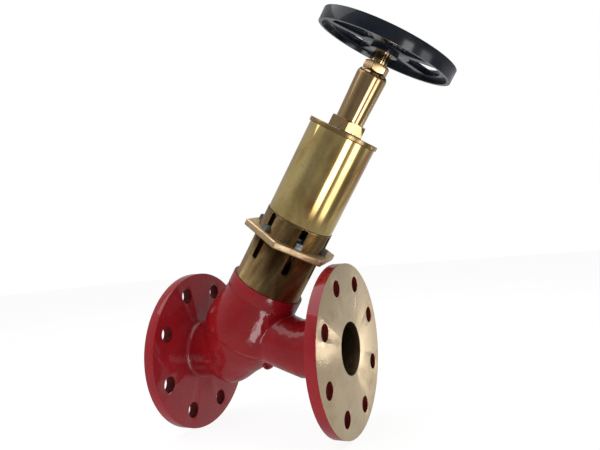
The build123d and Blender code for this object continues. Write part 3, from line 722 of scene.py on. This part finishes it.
# %% Neck band
band_in, band_low = 40.66, neck_top - band_tall
band = [
    (band_in, band_low + 1), (band_out - 0.7, band_low - 0.2), (band_out, band_low + 0.1),
    (band_out, neck_top), (band_in, neck_top),
]
neck_band = turned("neck_band", softened(band, 0.45), red_cast)
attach(neck_band, "valve")
print("neck band", band_tall, "mm tall")

# %% [markdown]
# The barrel carries the adjusting ring on a fine thread with two starts, cut all the way from the
# neck to the sleeve. A thread is only a groove that climbs, so each point of a fine upright grid
# is pushed in by how far it is from the crest. The slots for the spring carrier's lugs are cut
# after it. The foot down in the neck and the spigot up in the sleeve are plain.

# %% Thread helper
thread_pitch, thread_depth, thread_starts = 1.5, 0.9, 2
fade_low, fade_high = 2, 2.5


def ring_of(grid, radii, height):
    """One ring of points at one height, with a radius in mm for each."""
    ring = []
    for k, radius in enumerate(radii):
        angle = 2 * math.pi * k / len(radii)
        point = (radius * math.cos(angle) * mm, radius * math.sin(angle) * mm, height * mm)
        ring.append(grid.verts.new(point))
    return ring


def threaded(name, low, high, out, within, finish, columns=240, per_pitch=6):
    """A tube whose outside is cut with a climbing groove from low to high."""
    grid = bmesh.new()
    rows = int((high - low) / thread_pitch * per_pitch)
    rings = []
    for row in range(rows + 1):
        height = low + (high - low) * row / rows
        fade = min(1.0, (height - low) / fade_low, (high - height) / fade_high)
        climbs = [(height / thread_pitch - thread_starts * k / columns) % 1.0 for k in range(columns)]
        radii = [out - thread_depth * abs(2 * climb - 1) * fade for climb in climbs]
        rings.append(ring_of(grid, radii, height))
    for height in (high, low):
        rings.append(ring_of(grid, [within] * columns, height))
    for here, there in zip(rings, rings[1:] + rings[:1]):
        for k in range(columns):
            j = (k + 1) % columns
            grid.faces.new([here[k], here[j], there[j], there[k]])
    return piece_from(name, grid, finish)


print("thread:", thread_starts, "starts,", thread_pitch, "mm apart,", thread_depth, "mm deep")

# %% Threaded barrel
barrel_low, barrel_high = span("spring_barrel")
sleeve_low, sleeve_high = span("cover_sleeve")
barrel_out = reach("spring_barrel", 100, 170)
barrel_in = hollow("spring_barrel", 118)
neck_deep = 12
thread_from, thread_to = neck_top - neck_deep, sleeve_low - 0.1
barrel = threaded("barrel_with_thread", thread_from, thread_to, barrel_out, barrel_in, threaded_brass)
print("thread from", round(thread_from, 1), "to", round(thread_to, 1))

# %% Slots of the barrel
slot_count, slot_low, slot_high, slot_wide, slot_turn = 6, 119.4, 175.4, 8.0, 39.0
slot_near, slot_far, slot_corner = 30, 44, 2.5
outline = softened(oblong(-slot_wide / 2, slot_wide / 2, slot_low, slot_high), slot_corner, steps=5)
grid = bmesh.new()
for k in range(slot_count):
    turn = Matrix.Rotation(math.radians(slot_turn + 360 / slot_count * k), 4, "Z")
    near = [turn @ Vector((slot_near * mm, side * mm, height * mm)) for side, height in outline]
    far = [turn @ Vector((slot_far * mm, side * mm, height * mm)) for side, height in outline]
    bar(grid, near, far)
cut(barrel, piece_from("slots", grid, threaded_brass))
barrel.data.shade_smooth()
barrel.data.set_sharp_from_angle(angle=math.radians(50))
print("slots:", slot_count)

# %% Plain ends of the barrel
spigot_out = reach("spring_barrel", barrel_high)
outline = oblong(barrel_in, spigot_out, sleeve_low - 0.5, barrel_high)
spigot = turned("barrel_spigot", softened(outline, 0.4), inside_brass)
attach(spigot, "valve")
outline = oblong(barrel_in, barrel_out, barrel_low, thread_from - 0.1)
foot = turned("barrel_foot", softened(outline, 0.4), inside_brass)
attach(foot, "valve")
stands_for(barrel, "spring_barrel", "valve")
print("barrel:", len(barrel.data.polygons), "faces")

# %% [markdown]
# The adjusting ring is a sand casting too, tapped to fit the barrel and left as it came, so it
# gets the same treatment as the body at a finer grain. The sleeve above it is bought tube,
# turned and polished, and its cap is a turned lid with a lip that stands a little proud.

# %% Adjusting ring
ring_low, ring_high = span("adjusting_ring")
ring_corner = reach("adjusting_ring")
ring_bore = hollow("adjusting_ring")
ring_turn = 10
ring_flats = 2 * ring_corner * math.cos(math.pi / 6)
ring = prism("hexagon_ring", hexagon(ring_flats, ring_turn), ring_low, ring_high, sand_brass)
ring_cutter = oblong(0, ring_bore, ring_low - cutter_spare, ring_high + cutter_spare)
cut(ring, turned("ring_bore", ring_cutter, sand_brass))
edged(ring, 1.1)
cast(ring, grain=0.8, passes=3, wander=0.12, size=5)
stands_for(ring, "adjusting_ring", "ring")
print("ring", round(ring_flats, 1), "mm across its flats")

# %% Sleeve and cap
sleeve_out = reach("cover_sleeve")
sleeve_in = hollow("cover_sleeve")
outline = oblong(sleeve_in, sleeve_out, sleeve_low, sleeve_high)
sleeve = turned("polished_sleeve", softened(outline, 0.5), sleeve_brass, around=256)
stands_for(sleeve, "cover_sleeve", "valve")

cap_low, cap_high = span("top_cap")
cap_out = reach("top_cap")
cap_bore = hollow("top_cap", sleeve_high, cap_high)
skirt, skirt_thick = sleeve_in - 0.1, 5
plate_low = sleeve_high + 0.05
outline = [
    (cap_bore, sleeve_high), (skirt - skirt_thick, sleeve_high), (skirt - skirt_thick, cap_low),
    (skirt, cap_low), (skirt, plate_low), (cap_out, plate_low), (cap_out, cap_high), (cap_bore, cap_high),
]
cap = turned("cap_plate", softened(outline, 0.6), cap_bronze, around=256)
stands_for(cap, "top_cap", "valve")
print("sleeve out to", round(sleeve_out, 1), "cap", round(cap_out, 1))

# %% [markdown]
# A machined hexagon has a conical chamfer that clips its corners into curves. It is made as on
# the lathe: a round blank with its edges chamfered first, and the six flats milled away after.

# %% Hexagon helper
chamfer_steep = 0.75


def hexagon_piece(name, flats, turn, low, high, within, finish, chamfer_top=True, chamfer_foot=True):
    """A hexagon with chamfered corners and a hole through it."""
    corner = flats / math.sqrt(3)
    drop = (corner - flats / 2) * chamfer_steep
    top = [(corner + 0.2, high - drop), (flats / 2 - 0.2, high)] if chamfer_top else [(corner + 0.2, high)]
    foot = [(flats / 2 - 0.2, low), (corner + 0.2, low + drop)] if chamfer_foot else [(corner + 0.2, low)]
    blank = turned(name, [(within, low)] + foot + top + [(within, high)], finish, around=180)
    return cut(blank, prism("flats", hexagon(flats, turn), low - 1, high + 1, finish), "INTERSECT")


print("hexagon helper ready")

# %% Bonnet, gland nut and wheel nut
bonnet_low, bonnet_high = span("bonnet")
hex_low = span("bonnet_gasket")[1]
hex_high, hex_flats, hex_turn = hex_low + 12.0, 39.5, 23.0
foot_out, head_out, spindle_out = 16.2, 17.6, 9.85
bonnet = hexagon_piece(
    "bonnet_hexagon", hex_flats, hex_turn, hex_low, hex_high, spindle_out, bonnet_bronze, chamfer_foot=False
)
outline = [
    (spindle_out, hex_low + 3), (foot_out, hex_low + 3), (foot_out, hex_high),
    (foot_out + 0.15, hex_high + 6), (head_out, bonnet_high - 6), (head_out - 0.5, bonnet_high - 3.4),
    (head_out - 1.7, bonnet_high - 1.2), (head_out - 3.4, bonnet_high), (spindle_out, bonnet_high),
]
cut(bonnet, turned("column", softened(outline, 1.2, 4), bonnet_bronze), "UNION")
outline = oblong(spindle_out, cap_bore - 0.1, bonnet_low, hex_low + 1)
cut(bonnet, turned("spigot", outline, bonnet_bronze), "UNION")
edged(bonnet, 0.35)
stands_for(bonnet, "bonnet", "valve")

gland_high, gland_flats, gland_turn = span("gland_nut")[1], 25.5, 5.0
gland = hexagon_piece(
    "gland_hexagon", gland_flats, gland_turn, bonnet_high, gland_high, spindle_out, bonnet_bronze
)
edged(gland, 0.3)
stands_for(gland, "gland_nut", "valve")

nut_low, nut_high = span("wheel_nut")
nut_flats, nut_turn = 18.0, 12.0
nut = hexagon_piece("nut_on_wheel", nut_flats, nut_turn, nut_low, nut_high, hollow("wheel_nut"), zinc_steel)
edged(nut, 0.25)
stands_for(nut, "wheel_nut", "spindle")
print("bonnet, gland nut and wheel nut made")

# %% [markdown]
# The handwheel is pressed or cast with a tall outer band and a flat web set into it, and five
# windows are left between its spokes. It is turned as one disc, the windows are cut with one
# rounded outline turned five times, and every edge is rounded generously, because thick enamel
# never leaves a sharp one.

# %% Handwheel
wheel_low, wheel_high = span("handwheel")
wheel_out = reach("handwheel")
rim_tall, rim_thick = 14.5, 4.2
rim_top, rim_in = wheel_low + rim_tall, wheel_out - rim_thick
web_low, web_high = wheel_low + 4.6, wheel_low + 12.0
hub_out, stud_hole = 16.5, hollow("handwheel")
outline = [
    (stud_hole, wheel_low), (hub_out, wheel_low), (hub_out, web_low), (rim_in, web_low), (rim_in, wheel_low),
    (wheel_out, wheel_low), (wheel_out, rim_top), (rim_in, rim_top), (rim_in, web_high), (hub_out, web_high),
    (hub_out, wheel_high), (stud_hole, wheel_high),
]
wheel = turned("spoked_wheel", outline, black_wheel, around=256)
print("wheel blank out to", round(wheel_out, 1))

# %% Windows of the handwheel
window_in, window_out, window_corner = 29.0, 65.0, 4.5
spoke_wide, spokes, spoke_turn = 13.0, 5, 8.0


def window_outline():
    """One window between two spokes, on the front axis, its sides parallel to the spokes."""
    half = math.pi / spokes
    points = []
    for radius, order in ((window_in, 1), (window_out, -1)):
        swing = half - math.asin(spoke_wide / 2 / radius)
        steps = 4 if radius == window_in else 12
        arc = [swing * (2 * k / steps - 1) * order for k in range(steps + 1)]
        points += [(radius * math.cos(a), radius * math.sin(a)) for a in arc]
    return points


grid = bmesh.new()
window = softened(window_outline(), window_corner)
for k in range(spokes):
    turn = Matrix.Rotation(math.radians(spoke_turn + 360 * (k + 0.5) / spokes), 4, "Z")
    foot = [turn @ Vector((x * mm, y * mm, (web_low - 3) * mm)) for x, y in window]
    roof = [turn @ Vector((x * mm, y * mm, (web_high + 3) * mm)) for x, y in window]
    bar(grid, foot, roof)
cut(wheel, piece_from("windows", grid, black_wheel))
edged(wheel, 1.3, steps=4)
stands_for(wheel, "handwheel", "spindle")
print("handwheel:", len(wheel.data.polygons), "faces")

# %% [markdown]
# Everything else is right as the frame has it, or hides inside. It only needs its own finish.

# %% Finishes for the rest
finishes = {
    "polished_brass": sleeve_brass, "turned_brass": inside_brass, "bonnet_brass": bonnet_bronze,
    "steel": zinc_steel, "spring_steel": oiled_spring, "rubber": black_rubber, "fibre": pressed_fibre,
    "packing": woven_packing, "red_casting": red_cast, "cast_brass": sand_brass, "black_wheel": black_wheel,
}
slots = {part["node"]: part["material_slot"] for part in frame["record"]["subparts"]}
for name, part in frame["nodes"].items():
    part.data.materials.clear()
    part.data.materials.append(finishes[slots[name]])
print("finished", len(frame["nodes"]), "frame nodes")

# %% [markdown]
# The main spring is squeezed when the ring is screwed up and let out when it is screwed down. A
# stiff copy would run through its seat; the copy here is still a stiff copy of the frame's
# spring, with its placing baked in.

# %% Main spring
spring = bpy.data.objects.new("main_spring", frame["nodes"]["spring"].data.copy())
bpy.context.scene.collection.objects.link(spring)
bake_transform(spring)
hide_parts("spring")

# %% [markdown]
# The studio is a pale floor and a ring of long strip lights hung parallel to the stem, with
# grey cloth between them. A polished tube shows each strip as one straight stripe along its
# whole length, and the grey between them is what makes the metal read as metal. The floor is
# kept out of the reflections.

# %% Floor
grid = bmesh.new()
bmesh.ops.create_grid(grid, x_segments=1, y_segments=1, size=6)
pale_finish, tree, shader = finish_named(
    "pale_floor", Roughness=0.9, Emission_Color=(1, 1, 1, 1), Emission_Strength=0.9
)
greys = shades(tree, cloud(tree, 3, 2), (0.3, (0.12, 0.12, 0.12)), (0.7, (0.15, 0.15, 0.15)))
tree.links.new(greys, shader.inputs["Base Color"])
floor = piece_from("floor", grid, pale_finish, leaning=False)
floor.location.z = plain_box[0].z
floor.visible_glossy = False
print("floor at z =", round(floor.location.z, 3))

# %% [markdown]
# The strips are painted on the sky, each stop an angle round the stem and a tone. They are only
# there in a narrow band of sky that lies square to the stem; plain grey cloth closes the room on
# both sides of it. The camera itself sees none of it, only white.

# %% Strips
sky = bpy.data.worlds.new("studio")
bpy.context.scene.world = sky
sky.use_nodes = True
tree = sky.node_tree
tree.nodes.clear()
direction = put(tree, "TexCoord").outputs["Generated"]


def sky_along(line):
    """How far a direction of the sky goes along a line: 1 along it, 0 square to it."""
    return put(tree, "VectorMath", {0: direction, 1: tuple(line)}, operation="DOT_PRODUCT").outputs["Value"]


ahead, beside = sky_along(stem_front), sky_along(stem_side)
around = sum_of(tree, beside, ahead, "ARCTAN2")
share = put(tree, "MapRange", {"Value": around, 1: -math.pi, 2: math.pi, 3: 0.0, 4: 1.0}).outputs[0]
cloth_tone, band_middle, band_full, band_gone = 0.3, -0.03, 0.18, 0.28
strips = [
    (-180, 0.50), (-150, 0.45), (-125, 0.38), (-55, 0.38), (-40, 0.30), (-28, 0.20), (-5, 0.19), (5, 0.24),
    (32, 0.25), (41, 0.35), (46, 6.0), (57, 6.0), (61, 0.45), (67, 0.26), (73, 0.8), (78, 3.4), (91, 3.0),
    (97, 0.3), (106, 0.17), (118, 0.2), (127, 0.5), (155, 0.45), (176, 0.6),
]
brightest = max(tone for angle, tone in strips)
tones = shades(tree, share, *[((angle + 180) / 360, [tone / brightest] * 3) for angle, tone in strips])
along = sum_of(tree, sky_along(stem_up), -band_middle)
off_band = put(tree, "Math", {0: along}, operation="ABSOLUTE").outputs[0]
cloth = [cloth_tone / brightest] * 3 + [1]
tones = blend_of(tree, between(tree, off_band, band_full, band_gone), tones, cloth)
seen = put(tree, "Background", {"Color": (1, 1, 1, 1), "Strength": 1.0}).outputs[0]
felt = put(tree, "Background", {"Color": tones, "Strength": brightest}).outputs[0]
straight = put(tree, "LightPath").outputs["Is Camera Ray"]
mixed = put(tree, "MixShader", {0: straight, 1: felt, 2: seen}).outputs[0]
tree.links.new(mixed, put(tree, "OutputWorld").inputs["Surface"])
print("sky with", len(strips), "tones")


# %% [markdown]
# Four lamps finish the room. A large soft one overhead gives the shapes their shade. A small one
# on the left opens the shadows in front, and is kept out of the reflections. Two narrow spot
# lamps do one job each: behind_right brings out the bright wedge on the turned flange face, and
# beside_wheel lights the thin edge of the handwheel's rim.


# %% Lamps
def lamp(name, place, aim, size, power, kind="AREA", cone=34):
    """A square soft lamp size metres wide aimed at a point, or a spot lamp with a bulb of that size."""
    light = bpy.data.lights.new(name, kind)
    light.energy = power
    if kind == "AREA":
        light.size = size
    else:
        light.shadow_soft_size = size
        light.spot_size = math.radians(cone)
        light.spot_blend = 0.6
    made = bpy.data.objects.new(name, light)
    bpy.context.scene.collection.objects.link(made)
    made.location = place
    made.rotation_euler = (Vector(aim) - Vector(place)).to_track_quat("-Z", "Y").to_euler()
    made.visible_camera = False
    return made


middle = (plain_box[0] + plain_box[1]) / 2
lamp("overhead", (0.1, -0.2, 1.6), middle, size=2.2, power=20)
lamp("front_left", (-0.5, -1.5, 0.55), (0.1, 0, 0), size=0.3, power=5).visible_glossy = False
lamp("behind_right", (0.52, 0.40, -0.07), (0.21, -0.02, 0), size=0.04, power=0.36, kind="SPOT")
wheel_middle = lean @ Vector((0, 0, wheel_low * mm))
round_stem = math.radians(136)
past_wheel = stem_front * math.cos(round_stem) + stem_side * math.sin(round_stem)
lamp_place = wheel_middle + past_wheel * 0.8 - stem_up * 0.1
lamp("beside_wheel", lamp_place, wheel_middle, size=0.05, power=1.2, kind="SPOT", cone=14)

# %% [markdown]
# Last, the picture is set to the standard view transform, which shows the colours plainly.

# %% The end
bpy.context.scene.view_settings.view_transform = "Standard"
